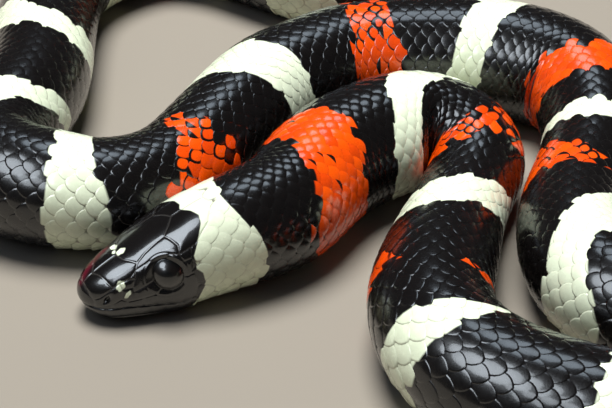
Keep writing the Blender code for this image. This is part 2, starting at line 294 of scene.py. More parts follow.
# the same, and how whole the orange is on the back and on the flanks
ORANGE_BANDS = (
    ((25.8, -2.6, -0.9), (32.8, 0.6, -3.9), 1.0, 1.0), ((50.3, 1.0, 0.0), (54.0, 2.4, 1.0), 0.9, 1.0),
    ((75.2, -0.45, 0.7), (77.2, -0.9, 0.7), -0.15, 1.7), ((93.0, 0.6, 0.0), (93.6, 0.6, 0.0), -0.2, 0.8),
    ((111.0, 0.0, -0.5), (114.5, 0.0, 0.5), 0.2, 1.0), ((128.5, 0.0, -0.5), (132.0, 0.0, 0.5), 0.5, 1.0),
    ((145.0, 0.0, -0.5), (149.0, 0.0, 0.5), 0.5, 1.0), ((161.5, 0.0, -0.5), (165.0, 0.0, 0.5), 0.5, 1.0),
    ((184.9, 1.6, 0.0), (188.4, -1.4, 1.0), 0.75, 1.0), ((201.6, -0.4, 0.0), (206.2, -2.0, 1.8), 0.95, 1.0),
    ((229.0, 1.2, 0.0), (234.4, -1.4, 0.0), 0.9, 1.0), ((259.4, 3.5, 2.2), (262.9, -3.1, 0.0), 0.8, 1.0),
    ((335.5, 0.0, -0.5), (339.0, 0.0, 0.5), 0.6, 1.0),
    ((368.0, 0.0, -0.5), (372.0, 0.0, 0.5), 0.6, 1.0), ((388.5, 0.0, -0.5), (392.0, 0.0, 0.5), 0.6, 1.0),
    ((409.0, 0.0, -0.5), (412.5, 0.0, 0.5), 0.6, 1.0), ((429.0, 0.0, -0.4), (432.2, 0.0, 0.4), 0.6, 1.0),
    ((448.0, 0.0, -0.4), (451.0, 0.0, 0.4), 0.6, 1.0), ((466.0, 0.0, -0.4), (468.8, 0.0, 0.4), 0.6, 1.0),
    ((482.5, 0.0, -0.3), (485.4, 0.0, 0.3), 0.6, 1.0), ((498.0, 0.0, -0.3), (500.5, 0.0, 0.3), 0.6, 1.0),
    ((512.5, 0.0, -0.2), (514.8, 0.0, 0.2), 0.6, 1.0), ((525.8, 0.0, -0.2), (527.8, 0.0, 0.2), 0.6, 1.0),
)
# where the black of the head ends: millimetres down from the middle of the back, and run. Left is
# below nought
HEAD_EDGE = ((-14, 10.0), (-7, 9.7), (-4.6, 9.9), (-3, 10.6), (-1.9, 11.2), (-0.8, 11.4), (-0.2, 11.2),
             (0.3, 11.5), (0.9, 12.0), (1.9, 12.5), (2.8, 12.4), (3.8, 11.9), (4.6, 11.4), (5.5, 10.9),
             (6.5, 11.2), (7.1, 11.3), (7.9, 11.9), (9, 11.9), (10, 11.3), (14, 10.2))
COLLAR = (15.3, 0.0, 2.6)
FLECKS = ((3.45, 3.4, 0.46), (3.95, 4.75, 0.3), (4.35, -1.2, 0.36), (4.65, 0.05, 0.42), (4.1, -0.5, 0.2))


def within(run, angle, start, end):
    """How far inside a band a place lies, in mm. Outside it this is below nought."""
    c = np.cos(angle)
    first, last = (edge[0] + edge[1] * c + edge[2] * c * c for edge in (start, end))
    return np.minimum(run - first, last - run)


def markings(run, share):
    """How far inside cream and inside orange a place lies, and how whole the orange is there."""
    angle = angle_of(run, share)
    black_end = np.interp(share * half_girth(run), *zip(*HEAD_EDGE))
    cream = np.minimum(within(run, angle, (0, 0, 0), COLLAR), run - black_end)
    for start, end in CREAM_BANDS:
        cream = np.maximum(cream, within(run, angle, start, end))
    orange, whole = np.full(cream.shape, -9.0), np.ones(cream.shape)
    for start, end, on_back, on_flank in ORANGE_BANDS:
        here = within(run, angle, start, end)
        whole = np.where(here > orange, on_back + (on_flank - on_back) * np.cos(angle) ** 2, whole)
        orange = np.maximum(orange, here)
    return cream, orange, whole


MARK_RANGE = 6.0      # mm of depth that fill the range from 0 to 1


def as_mark(depth):
    """A depth as a value for a mesh to carry: a half on the edge of the band, more inside it."""
    return np.clip(depth / MARK_RANGE + 0.5, 0, 1)


print(len(CREAM_BANDS) + 1, "cream bands and", len(ORANGE_BANDS), "orange ones")

# %% [markdown]
# Three small helpers serve every piece. One makes a mesh object from arrays that are already in
# the frame's millimetres, one writes a value for each corner of the mesh that a material can
# read, and one adds a node of a material together with its settings and links.

# %% Helpers for pieces and materials
def make_piece(name, points, faces, finish, replaced=()):
    """A smooth piece from points in mm and the corners of its faces, riding on the body."""
    data = bpy.data.meshes.new(name)
    data.from_pydata((points * MM).tolist(), [], faces)
    data.shade_smooth()
    data.materials.append(finish)
    piece = bpy.data.objects.new(name, data)
    bpy.context.collection.objects.link(piece)
    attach(piece, "root")
    if replaced:
        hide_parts(*replaced)
    print(name, sum(len(face) - 2 for face in faces), "triangles")
    return piece


def write_values(piece, name, values):
    """One number, or one colour, at each corner point."""
    values = np.asarray(values, np.float32)
    if values.ndim == 1:
        piece.data.attributes.new(name, "FLOAT", "POINT").data.foreach_set("value", values)
    else:
        piece.data.attributes.new(name, "FLOAT_COLOR", "POINT").data.foreach_set("color", values.ravel())


def write_map(piece, name, places):
    """A UV map with one place for each corner point."""
    layer = piece.data.uv_layers.new(name=name)
    corners = np.empty(len(piece.data.loops), int)
    piece.data.loops.foreach_get("vertex_index", corners)
    layer.uv.foreach_set("vector", places[corners].astype(np.float32).ravel())


def linear(code):
    """A hex colour as the eye sees it, turned into the linear values that light uses."""
    parts = [int(code[k:k + 2], 16) / 255 for k in (0, 2, 4)]
    return (*[v / 12.92 if v <= 0.04045 else ((v + 0.055) / 1.055) ** 2.4 for v in parts], 1)


def add(tree, kind, settings=None, **links):
    """Adds one node. Settings fill its fields or sockets, and links join its sockets."""
    node = tree.nodes.new("ShaderNode" + kind)
    for key, value in (settings or {}).items():
        if isinstance(key, int) or key in node.inputs:
            node.inputs[key].default_value = value
        else:
            setattr(node, key, value)
    for key, source in links.items():
        socket = node.inputs[int(key[1:])] if key[1:].isdigit() else node.inputs[key.replace("_", " ")]
        tree.links.new(source, socket)
    return node


def new_finish(name):
    """An empty material with its output and shader ready."""
    material = bpy.data.materials.new(name)
    material.use_nodes = True
    tree = material.node_tree
    return material, tree, tree.nodes["Principled BSDF"]


# %% [markdown]
# The scales of a milk snake are smooth plates of horn with a high gloss. The body colour is in
# the plate itself: black with a little blue in its sheen, a cream that is slightly green, and a
# bright orange red. The thin rim of each plate is painted darker, painted shade of the gaps
# between the scales together with the darker skin there, and some orange ones have a black tip.
# The wet look is a clear coat over a half-matt base. Each corner of a scale carries how deep
# it lies inside a band, and the material cuts there, so the band edges are crisp at any size.

# %% The finish of the scales
BLACK, CREAM, ORANGE, DEEP_ORANGE = "0C0908", "E8F1D3", "F45403", "D84003"
# The rim colours are painted shade: a darker edge for the shade in the gaps between scales, and the darker skin
# there
CREAM_RIM_SHADE, ORANGE_RIM_SHADE = "908D7A", "4E1206"
PATCH_SIZE = 1.1      # mm, the soft patches of slightly different gloss
GRAIN_SIZE = 0.22     # mm, the faint pebbling that breaks up the highlights
CUT = 0.05            # half the width of a band's edge, mm


def mix(tree, kind="MIX", amount=None, first=None, second=None, share=None):
    """Mixes two colours by a share that is a number or a socket."""
    node = add(tree, "Mix", {"data_type": "RGBA", "blend_type": kind})
    for index, value in ((6, first), (7, second)):
        if isinstance(value, str):
            node.inputs[index].default_value = linear(value)
        elif value is not None:
            tree.links.new(value, node.inputs[index])
    if amount is not None:
        tree.links.new(amount, node.inputs[0])
    else:
        node.inputs[0].default_value = share
    return node.outputs[2]


def cut(tree, mark):
    """Nought outside a band and one inside, from the depth that the mesh carries."""
    edge = CUT / MARK_RANGE
    return add(tree, "MapRange", {"From Min": 0.5 - edge, "From Max": 0.5 + edge}, Value=mark).outputs[0]


horn, tree, shader = new_finish("glossy_scale_horn")
marks = add(tree, "Attribute", {"attribute_name": "marks"})
cream_mark, orange_mark, tip_mark = add(tree, "SeparateColor", Color=marks.outputs["Color"]).outputs
# rim darkens the edge of each scale with painted shade
rim = add(tree, "Attribute", {"attribute_name": "rim"}).outputs["Fac"]
tone = add(tree, "Attribute", {"attribute_name": "tone"}).outputs["Fac"]
pale = mix(tree, amount=rim, first=CREAM, second=CREAM_RIM_SHADE)
warm = mix(tree, amount=rim, first=mix(tree, amount=tone, first=ORANGE, second=DEEP_ORANGE), second=ORANGE_RIM_SHADE)
warm = mix(tree, amount=cut(tree, tip_mark), first=warm, second=BLACK)
colour = mix(tree, amount=cut(tree, orange_mark), first=BLACK, second=warm)
colour = mix(tree, amount=cut(tree, cream_mark), first=colour, second=pale)
place = add(tree, "TexCoord").outputs["Object"]
patches = add(tree, "TexNoise", {"Scale": 1 / (PATCH_SIZE * MM), "Detail": 2.0}, Vector=place).outputs["Fac"]
shade = add(tree, "MapRange", {"To Min": 0.86, "To Max": 1.1}, Value=patches).outputs[0]
shade = add(tree, "CombineColor", Red=shade, Green=shade, Blue=shade).outputs[0]
tree.links.new(mix(tree, "MULTIPLY", share=1.0, first=colour, second=shade), shader.inputs["Base Color"])
rough = add(tree, "MapRange", {"To Min": 0.2, "To Max": 0.34}, Value=patches).outputs[0]
tree.links.new(rough, shader.inputs["Roughness"])
grain = add(tree, "TexNoise", {"Scale": 1 / (GRAIN_SIZE * MM), "Detail": 2.0}, Vector=place).outputs["Fac"]
bump = add(tree, "Bump", {"Strength": 0.3, "Distance": 0.02 * MM}, Height=grain).outputs[0]
tree.links.new(bump, shader.inputs["Normal"])
shader.inputs["Coat Weight"].default_value = 0.5
shader.inputs["Coat Roughness"].default_value = 0.09
shader.inputs["IOR"].default_value = 1.54
print("finish:", horn.name)

# %% [markdown]
# Between the scales lies soft skin, which shows where the body bends and the scales stand apart.
# It is duller, dark under black scales, and paler and olive where it is stretched. The skin is a
# tube of rings from the neck to the tip of the tail, just under the outline.

# %% The finish of the skin between the scales
DARK_SKIN, OLIVE_SKIN, PALE_SKIN, RED_SKIN = "100F10", "43443A", "A3A28E", "551408"

hide, tree, shader = new_finish("soft_skin")
stretch = add(tree, "Attribute", {"attribute_name": "stretch"}).outputs["Fac"]
marks = add(tree, "Attribute", {"attribute_name": "marks"}).outputs["Color"]
cream_mark, orange_mark, _ = add(tree, "SeparateColor", Color=marks).outputs
colour = mix(tree, amount=stretch, first=DARK_SKIN, second=OLIVE_SKIN)
colour = mix(tree, amount=cut(tree, orange_mark), first=colour, second=RED_SKIN)
colour = mix(tree, amount=cut(tree, cream_mark), first=colour, second=PALE_SKIN)
place = add(tree, "TexCoord").outputs["Object"]
grain = add(tree, "TexNoise", {"Scale": 1 / (0.35 * MM), "Detail": 3.0}, Vector=place).outputs["Fac"]
bump = add(tree, "Bump", {"Strength": 0.35, "Distance": 0.04 * MM}, Height=grain).outputs[0]
tree.links.new(colour, shader.inputs["Base Color"])
tree.links.new(bump, shader.inputs["Normal"])
shader.inputs["Roughness"].default_value = 0.55
print("finish:", hide.name)

# %% The skin of the neck, body and tail
SKIN_DEPTH = 0.2      # how far the skin lies under the outline, mm
SKIN_START = 14.0
SKIN_STEP = 0.9
SKIN_SIDES = 72


def tube_faces(rings, sides):
    """Faces between rings of points. Fans close the ends, with two more points as their middles."""
    turn = np.arange(sides)
    after = (turn + 1) % sides
    first = np.arange(rings - 1)[:, None] * sides
    walls = np.stack([first + turn, first + after, first + sides + after, first + sides + turn], axis=-1)
    last = (rings - 1) * sides
    front = np.stack([after, turn, np.full(sides, rings * sides)], axis=1)
    rear = np.stack([last + turn, last + after, np.full(sides, rings * sides + 1)], axis=1)
    return [*walls.reshape(-1, 4).tolist(), *front.tolist(), *rear.tolist()]


def with_ends(values, sides):
    """The same values, and the means of the first and the last ring for the two middles."""
    return np.concatenate([values, [values[:sides].mean(axis=0), values[-sides:].mean(axis=0)]])


def stretch_at(run, share):
    """How much longer the skin is there than along the middle of the body."""
    angle = angle_of(run, share)
    return np.linalg.norm(outline(run + 0.4, angle) - outline(run - 0.4, angle), axis=-1) / 0.8


runs = np.concatenate([[SKIN_START], np.arange(SKIN_START + 0.2, END - 0.02, SKIN_STEP), [END - 0.01]])
shares = np.linspace(-1, 1, SKIN_SIDES + 1)[:-1]
run, share = (g.ravel() for g in np.meshgrid(runs, shares, indexing="ij"))
points = skin_point(run, share, np.where(run == SKIN_START, -2.5, -SKIN_DEPTH))
skin = make_piece("skin", with_ends(points, SKIN_SIDES), tube_faces(len(runs), SKIN_SIDES), hide,
                  ["neck", *[f"body_{n:02d}" for n in range(1, 16)], "tail_1", "tail_2"])
cream, orange, whole = markings(run, share)
marks = np.stack([as_mark(cream), as_mark(orange - 3 * (whole < 0.5)), run * 0, run * 0 + 1], axis=1)
write_values(skin, "marks", with_ends(marks, SKIN_SIDES))
write_values(skin, "stretch", with_ends(np.clip((stretch_at(run, share) - 1.2) * 2.5, 0, 1), SKIN_SIDES))

# %% [markdown]
# One scale is modelled and then copied. It starts as a filled circle of sixteen corners.
# Insetting it twice gives a rim that drops to the skin and a slightly domed top, and poking the
# last face closes the middle. A little arithmetic then draws the circle out to a rounded lozenge.

# %% One scale, modelled once
SCALE_CORNERS = 16
ROUND_LOZENGE = 1.6       # 1 is a sharp lozenge and 2 an ellipse

bpy.ops.object.select_all(action="DESELECT")
bpy.ops.mesh.primitive_circle_add(vertices=SCALE_CORNERS, radius=1, fill_type="NGON")
master = bpy.context.object
bpy.ops.object.mode_set(mode="EDIT")
bpy.ops.mesh.inset(thickness=0.12, depth=0)
bpy.ops.mesh.inset(thickness=0.14, depth=0)
bpy.ops.mesh.poke()
bpy.ops.object.mode_set(mode="OBJECT")
corners = np.array([v.co for v in master.data.vertices])
scale_faces = [list(face.vertices)[::-1] for face in master.data.polygons]    # right is left when laid
bpy.data.objects.remove(master)
radius = np.hypot(corners[:, 0], corners[:, 1])
turned = np.arctan2(corners[:, 1], corners[:, 0])
drawn = (np.abs(np.cos(turned)) ** ROUND_LOZENGE + np.abs(np.sin(turned)) ** ROUND_LOZENGE) ** (-1 / ROUND_LOZENGE)
along = radius * drawn * np.cos(turned)
across = radius * drawn * np.sin(turned)
height = np.interp(radius, (0, 0.74, 0.88, 1.0), (1.0, 0.95, 0.8, -0.3))
dome = np.interp(radius, (0, 0.74, 0.88, 1.0), (1.25, 0.6, 0.3, -0.3))
print("one scale:", len(corners), "points,", len(scale_faces), "faces")

# %% [markdown]
# The scales lie in 19 rows round the body, each row half a step behind the next, and each scale
# overlaps the ones behind it like a tile. The rows are narrow on the back and wide low on the
# flanks. Where a bend stretches the skin the scales keep their own length, so gaps open between
# them, and on the inside of a bend they crowd together.

# %% The rows of scales
ROW_STEPS = (1.14, 1.15, 1.18, 1.22, 1.27, 1.33, 1.4, 1.46, 1.5)   # mm on a full-grown girth
FULL_HALF_GIRTH = 19.5
STEP_AT = ((10, 2.1), (15, 2.05), (19, 1.5), (28, 1.5), (34, 1.7), (44, 2.0), (60, 2.3), (75, 2.6), (88, 2.5),
           (100, 2.1), (125, 1.85), (440, 1.85), (500, 1.5), (546, 0.9))
BEND_CLOSER = 0.5         # how much closer the rings of scales lie in a bend
SCALE_START = ((0, 13.9), (2, 13.9), (3.0, 13.4), (3.8, 12.4), (4.6, 11.6), (5.5, 11.2), (6.6, 11.1), (8, 11.4),
               (11, 11.4))
OVERLAP = 1.3             # length of a scale in steps
FILL = 0.96               # width of a scale in double rows
FRONT_LIFT, REAR_LIFT = 0.1, 0.19
FLAT_NECK = ((12, 0.55), (16, 0.65), (20, 1.0))     # the scales of the collar stand out less
DOMED = ((15, 0.3), (18, 1.0), (42, 1.0), (60, 0.35), (80, 0.15))   # and those of the neck are rounder
SINK = 0.06
FOLLOW = ((18, 0.95), (23, 0.6))    # how much of a band's own edge shows within a scale
BLACK_TIPS = (0.07, 0.25)     # share of the orange scales with a black tip, in whole and in broken bands
BLACK_EDGES = (0.05, 0.5)     # and of those with a black edge all round
chance = np.random.default_rng(11)


def step_at(run):
    """Distance from one ring of scales to the next, in mm."""
    bend = np.abs(np.interp(run, RUN, TURN)) * section(run)[0]
    return np.interp(run, *zip(*STEP_AT)) / (1 + BEND_CLOSER * bend)


def row_places(start, end, rows, steps):
    """Distances, shares and sizes of the scales of these rows, one line for each scale."""
    run, rings = start, []
    while run < end:
        rings.append(run)
        run += float(step_at(run))
    rings = np.array(rings)
    found = []
    reach = np.concatenate([[0], np.cumsum(steps)]) / FULL_HALF_GIRTH
    for row in range(-rows, rows + 1):
        share = math.copysign(reach[abs(row)], row)
        width = np.interp(abs(row), range(len(steps)), steps) / FULL_HALF_GIRTH
        step = step_at(rings)
        place = rings + step * (0.5 if row % 2 else 0)
        found.append(np.stack([place, place * 0 + share, step, place * 0 + width], axis=1))
    return np.concatenate(found)


def lay_scales(name, places):
    """One joined piece of scales, each laid on the outline where its line of the table says."""
    run, share, step, width = places.T
    keep = run > np.interp(np.abs(share) * half_girth(run), *zip(*SCALE_START))
    run, share, step, width = (column[keep] for column in (run, share, step, width))
    count, many = len(corners), len(run)
    length = step * OVERLAP / 2 * np.minimum(1, 1.3 / stretch_at(run, share))
    ahead = along[None, :] * length[:, None]
    aside = across[None, :] * (width * FILL)[:, None]
    thick = FRONT_LIFT + (REAR_LIFT - FRONT_LIFT) * (along[None, :] + 1) / 2
    stands_out = np.interp(run, *zip(*FLAT_NECK)) * chance.uniform(0.9, 1.0, many)
    round_ones = np.interp(run, *zip(*DOMED))[:, None]
    high = height[None, :] * (1 - round_ones) + dome[None, :] * round_ones
    lift = -SKIN_DEPTH - SINK + 0.04 + high * thick * stands_out[:, None]
    points = skin_point(run[:, None] + ahead, share[:, None] + aside, lift).reshape(-1, 3)
    faces = [[corner + first for corner in face] for first in range(0, many * count, count) for face in scale_faces]
    piece = make_piece(name, points, faces, horn)
    follow = np.interp(run, *zip(*FOLLOW))[:, None]
    cream, orange, _ = markings(run[:, None] + ahead * follow, share[:, None] + aside * follow)
    cream += chance.uniform(-0.25, 0.25, many)[:, None]
    orange += chance.normal(0, 0.45, many)[:, None]
    _, _, whole = markings(run, share)
    orange -= (9 * (chance.random(many) > whole) + (whole < 0.95) * chance.uniform(0, 0.5, many))[:, None]
    tipped, edged = (np.where(whole < 0.95, pair[1], pair[0]) for pair in (BLACK_TIPS, BLACK_EDGES))
    tip = np.where(chance.random(many) < tipped, chance.uniform(0.25, 0.7, many), 9.0)
    core = np.where(chance.random(many) < edged, chance.uniform(0.5, 0.85, many), 9.0)
    tips = np.maximum(along[None, :] - tip[:, None], radius[None, :] - core[:, None])
    marks = np.stack([as_mark(cream), as_mark(orange), as_mark(tips), cream * 0 + 1], axis=-1)
    write_values(piece, "marks", marks.reshape(-1, 4))
    # the outer fifth of each scale takes the painted shade of its rim
    write_values(piece, "rim", np.tile(np.clip((radius - 0.8) / 0.2, 0, 1), many))
    write_values(piece, "tone", np.repeat(chance.random(many), count))
    low, high = run.min(), run.max()
    root = np.stack([0.01 + 0.98 * (run - low) / (high - low), 0.5 + 0.48 * share], axis=1)
    patch = np.stack([along, across], axis=1) * 0.0015
    write_map(piece, "OFBake", (root[:, None, :] + patch[None]).reshape(-1, 2))
    return piece


TAIL_ROWS = (2.6, 2.7, 2.8, 3.0)      # on the tail there are fewer and wider rows
trunk = row_places(10.6, 486.0, 9, ROW_STEPS)
for name, start, end in (("scales_front", 0, 170), ("scales_middle", 170, 330), ("scales_rear", 330, 500)):
    lay_scales(name, trunk[(trunk[:, 0] >= start) & (trunk[:, 0] < end)])
lay_scales("scales_tail", row_places(486.6, END - 1.0, 4, TAIL_ROWS))

# %% [markdown]
# Under the body each ring of scales ends in one wide plate, the belly scute, which reaches round
# to the lower flanks. The scutes overlap backwards too, and the animal rests on them. Each is a
# curved strip with a rear edge that drops to the next one.

# %% The belly scutes
SCUTE_SHARE = 0.375       # how far round from the middle of the belly a scute reaches
SCUTE_SIDES = 22
scute_u = np.array((-1.0, -0.9, 0.2, 0.86, 1.0))
scute_h = np.array((0.0, 0.45, 0.8, 1.0, 0.0))

run, rings = 14.4, []
while run < END - 2:
    rings.append(run)
    run += float(step_at(run))
rings = np.array(rings)
step = step_at(rings)
q = np.linspace(-1, 1, SCUTE_SIDES + 1)
shape_u = scute_u[:, None] * (1 - 0.35 * np.abs(q[None, :]) ** 8)
at = rings[:, None, None] + shape_u[None] * (step * 0.6)[:, None, None]
way = np.sign(q + 1e-9) * (1 - SCUTE_SHARE * np.abs(q))
way = np.broadcast_to(way[None, None, :], at.shape)
edge = np.clip((1 - np.abs(q)) / 0.06, 0, 1)[None, None, :]
thick = 0.1 + 0.14 * (scute_u[None, :, None] + 1) / 2
lift = -SKIN_DEPTH - SINK + scute_h[None, :, None] * thick * edge
points = skin_point(at, way, np.broadcast_to(lift, at.shape)).reshape(-1, 3)
width = SCUTE_SIDES + 1
k = np.arange(len(scute_u) - 1)[:, None] * width + np.arange(SCUTE_SIDES)[None, :]
strip = np.stack([k, k + width, k + width + 1, k + 1], axis=-1).reshape(-1, 4)
faces = (strip[None] + (np.arange(len(rings)) * len(scute_u) * width)[:, None, None]).reshape(-1, 4)
scutes = make_piece("belly_scutes", points, faces.tolist(), horn)
follow = FOLLOW[-1][1]
cream, orange, whole = markings((rings[:, None, None] * (1 - follow) + at * follow).ravel(), way.ravel())
pale = np.maximum(cream, (np.abs(way.ravel()) - 0.86) * 20 + chance.normal(0, 0.3, way.size))
write_values(scutes, "marks", np.stack([as_mark(pale), as_mark(orange), pale * 0, pale * 0 + 1], axis=1))
# the rear edge of each scute takes the same painted shade
write_values(scutes, "rim", np.broadcast_to((scute_u[None, :, None] > 0.95) * 1.0, at.shape).ravel())
write_values(scutes, "tone", np.repeat(chance.random(len(rings)), at[0].size))
u = 0.01 + 0.98 * (rings[:, None, None] + shape_u[None] * (step * 0.45)[:, None, None]) / END
v = np.broadcast_to(0.5 + 0.48 * q[None, None, :], at.shape)
write_map(scutes, "OFBake", np.stack([u.ravel(), v.ravel()], axis=1))

# %% [markdown]
# The head is covered by a few large, very glossy plates with fine seams between them. They are
# drawn as lines on the skin, each as distance from the snout and millimetres down from the middle
# of the head, the same on both sides. Near a line the surface dips, and each plate swells a
# little towards its middle, so every plate catches the light on its own.

# %% The seams between the head plates
SEAMS = (
    ((0.45, 0.0), (4.1, 0.0)), ((10.2, 0.0), (13.9, 0.0)),
    ((0.4, 0.0), (0.45, 0.9), (0.6, 1.8), (0.85, 2.6), (0.8, 3.3)),
    ((1.5, 0.0), (1.95, 0.9), (2.35, 2.1), (2.7, 3.1)),
    ((0.85, 2.6), (1.4, 2.95), (2.1, 3.1), (2.7, 3.1), (3.4, 3.1), (4.3, 3.35), (5.1, 3.0), (5.5, 2.45)),
    ((4.1, 0.0), (4.5, 1.2), (5.5, 2.45), (6.4, 2.1), (7.6, 1.9), (8.8, 1.8), (9.6, 0.9), (10.2, 0.0)),
    ((3.4, 3.1), (3.55, 3.9), (3.3, 4.8)), ((3.55, 3.9), (4.5, 4.4), (4.85, 3.8), (4.3, 3.35)),
    ((4.85, 3.8), (5.1, 3.0)), ((4.5, 4.4), (4.7, 5.9)), ((4.7, 5.0), (6.0, 5.2)),
    ((5.1, 3.0), (6.3, 3.1), (7.5, 3.4), (8.8, 3.9), (9.7, 4.4)),
    ((8.8, 1.8), (9.3, 2.6), (9.75, 3.5), (9.7, 4.4), (9.9, 5.4), (9.8, 6.6)),
    ((9.7, 4.4), (10.9, 4.4), (11.9, 4.3)),
    ((9.9, 5.4), (10.9, 5.6), (11.6, 5.5)), ((10.9, 4.4), (10.9, 5.6), (10.7, 6.8)),
    ((1.3, 4.0), (2.4, 4.7), (3.3, 4.8), (3.9, 5.55), (4.8, 6.0), (5.8, 6.45), (6.8, 6.95), (8.1, 7.3),
     (9.6, 7.1), (10.6, 7.1), (11.8, 7.4)),
)
LIP_UPRIGHTS = (2.35, 3.85, 5.4, 6.9, 8.4, 9.9, 11.3)
LIP_TOPS = ((1.3, 4.0), (3.3, 4.8), (4.8, 6.0), (6.8, 6.95), (8.1, 7.3), (9.6, 7.1), (12.0, 7.4))
MOUTH = ((-1.0, 2.35), (1.2, 2.3), (4.0, 2.55), (7.0, 2.35), (9.5, 2.2), (11.2, 2.75), (12.4, 3.4))


def distance_to(lines, run, down):
    """Distance in mm from each point to the nearest of the lines."""
    nearest = np.full(run.shape, 9.0)
    for line in lines:
        for (a, b), (c, d) in zip(line, line[1:]):
            t = np.clip(((run - a) * (c - a) + (down - b) * (d - b)) / ((c - a) ** 2 + (d - b) ** 2), 0, 1)
            nearest = np.minimum(nearest, np.hypot(run - a - t * (c - a), down - b - t * (d - b)))
    return nearest


# %% The grid of the head
HEAD_REAR = 15.2
HEAD_STEP = 0.085
HEAD_SIDES = 400
nose = -NOSE + 0.5 * np.linspace(0.04, 1, 9)[:-1] ** 2
fine = np.concatenate([nose, np.arange(0.5 - NOSE, HEAD_REAR, HEAD_STEP), [HEAD_REAR]])
shares = np.linspace(-1, 1, HEAD_SIDES + 1)[:-1]
run, share = (g.ravel() for g in np.meshgrid(fine, shares, indexing="ij"))
side_down = share * half_girth(np.maximum(run, 0))
down = np.abs(side_down)
flat = skin_point(run, share, run * 0)
lip = flat[:, 2] - np.interp(run, *zip(*MOUTH))
over_lip = lip > 0
uprights = [((at, np.interp(at, *zip(*LIP_TOPS))), (at - 0.25, 12.0)) for at in LIP_UPRIGHTS]
seam = np.minimum(distance_to(SEAMS, run, down), np.where(over_lip, distance_to(uprights, run, down), 9))
lower = [((at - 0.5, 4.0), (at - 0.9, 13.0)) for at in LIP_UPRIGHTS]
beneath = np.minimum(distance_to(lower, run, down), np.abs(lip + 1.3))
seam = np.where(over_lip, seam, np.where(lip > -1.4, beneath, 9))
mouth = np.where(run < 12.4, np.abs(lip), 9)
print("head grid:", len(run), "points")

# %% [markdown]
# Round the eye the plates end in a low ring, and the surface runs down to the eyeball. The
# nostril is a small pit in its own plate, the mouth a fine groove that the finish darkens with
# painted shade, and the cheek is slightly hollow in front of the eye. Behind the plates the
# surface sinks to make room for the scales.

# %% The surface of the head
EYE = (8.65, 3.1, 5.35)       # centre of the eyeball: along the head, sideways, up
EYE_RADIUS = 1.95
EYE_SHOWS = 1.84              # how much of that radius shows
EYE_LOOK = (-0.42, 0.86, 0.28)    # the way the eye faces, in the same three directions
NOSTRIL_AT = (1.95, 3.75)
SEAM_DEPTH, SEAM_WIDTH = 0.04, 0.085
SWELL = 0.06


def head_frame():
    """The head's own three directions and its start, in mm in the frame."""
    start = np.array([np.interp(8.65, RUN, LINE[:, k]) for k in (0, 1)]) - MIDDLE
    ahead = np.array([np.interp(8.65, RUN, HEADING[:, k]) for k in (0, 1)])
    ahead /= np.linalg.norm(ahead)
    return start, ahead, np.array([ahead[1], -ahead[0]])


def eye_place(side):
    """Centre of an eyeball and the way it looks, in the frame."""
    start, ahead, right = head_frame()
    centre = np.array([*(start + right * side * EYE[1]), EYE[2]])
    look = np.array([*(ahead * EYE_LOOK[0] + right * side * EYE_LOOK[1]), EYE_LOOK[2]])
    return centre, look / np.linalg.norm(look)


def bell(distance, width):
    return np.exp(-(distance / width) ** 2)


lift = -SEAM_DEPTH * bell(seam, SEAM_WIDTH) + SWELL * (1 - np.exp(-seam / 0.45)) - 0.03
lift -= 0.12 * bell(mouth, 0.1) + 0.04 * bell(mouth, 0.35)
nostril = np.hypot((run - NOSTRIL_AT[0]) / 1.25, down - NOSTRIL_AT[1])
lift -= 0.42 * bell(nostril, 0.29)
lift -= 0.16 * bell(np.hypot((run - 4.9) / 1.4, down - 4.5), 1.0)
lift += 0.3 * bell(np.hypot((run - 11.4) / 2.4, (side_down + 5.4) / 2.0), 1.0)
lift *= np.clip((run + 0.1) / 0.3, 0, 1)
first_scale = np.interp(down, *zip(*SCALE_START))
behind = np.clip((run - first_scale + 0.45) / 0.3, 0, 1)
lift -= 0.1 * np.clip((run - first_scale + 2.4) / 1.9, 0, 1)
lift = lift * (1 - behind) - SKIN_DEPTH * 1.3 * behind
lift -= 0.5 * np.clip((run - 14.5) / 0.6, 0, 1)
points = skin_point(run, share, lift)
ring = np.full(run.shape, 9.0)
for side in (1, -1):
    centre, look = eye_place(side)
    away = points - centre
    along_look = away @ look
    from_axis = np.linalg.norm(away - along_look[:, None] * look, axis=1)
    facing = along_look > 0
    weight = np.clip((from_axis - EYE_SHOWS) / 0.36, 0, 1)
    weight = np.where(facing, weight * weight * (3 - 2 * weight), 1)
    on_ball = centre + away / np.linalg.norm(away, axis=1)[:, None] * (EYE_RADIUS - 0.06)
    points = on_ball * (1 - weight)[:, None] + points * weight[:, None]
    ring = np.where(facing, np.minimum(ring, np.abs(from_axis - EYE_SHOWS - 0.48)), ring)
    points += (look * -0.05) * (bell(ring, 0.09) * facing)[:, None]
head_points = with_ends(points, HEAD_SIDES)

# %% [markdown]
# The plates are black horn with the highest gloss on the animal. The seams are painted as thin
# lighter lines, a painted highlight on their edges, strongest on the top of the head. The cream of
# the collar starts on the last plates. A dark red painted reflection lies over the far side of the
# snout, and the mouth line and nostrils get painted shade, nearly black and dull.

# %% The finish of the head
# Painted light on the head: a light painted highlight along the seams, a dark red painted reflection on the far side
# of the snout, and near-black painted shade in the nostrils and the mouth line
SEAM_HIGHLIGHT, SNOUT_RED_REFLECTION, PIT_SHADE = "4A4744", "561020", "040304"
# a dark red painted reflection lies along this line on the far side of the snout
RED_REFLECTION_LINE = ((0.4, -0.4), (1.4, -1.05), (2.1, -1.5), (3.6, -1.9))
plate, tree, shader = new_finish("polished_head_plates")
marks = add(tree, "Attribute", {"attribute_name": "marks"}).outputs["Color"]
parts = add(tree, "SeparateColor", Color=marks).outputs
extra = add(tree, "Attribute", {"attribute_name": "extra"}).outputs["Color"]
extras = add(tree, "SeparateColor", Color=extra).outputs
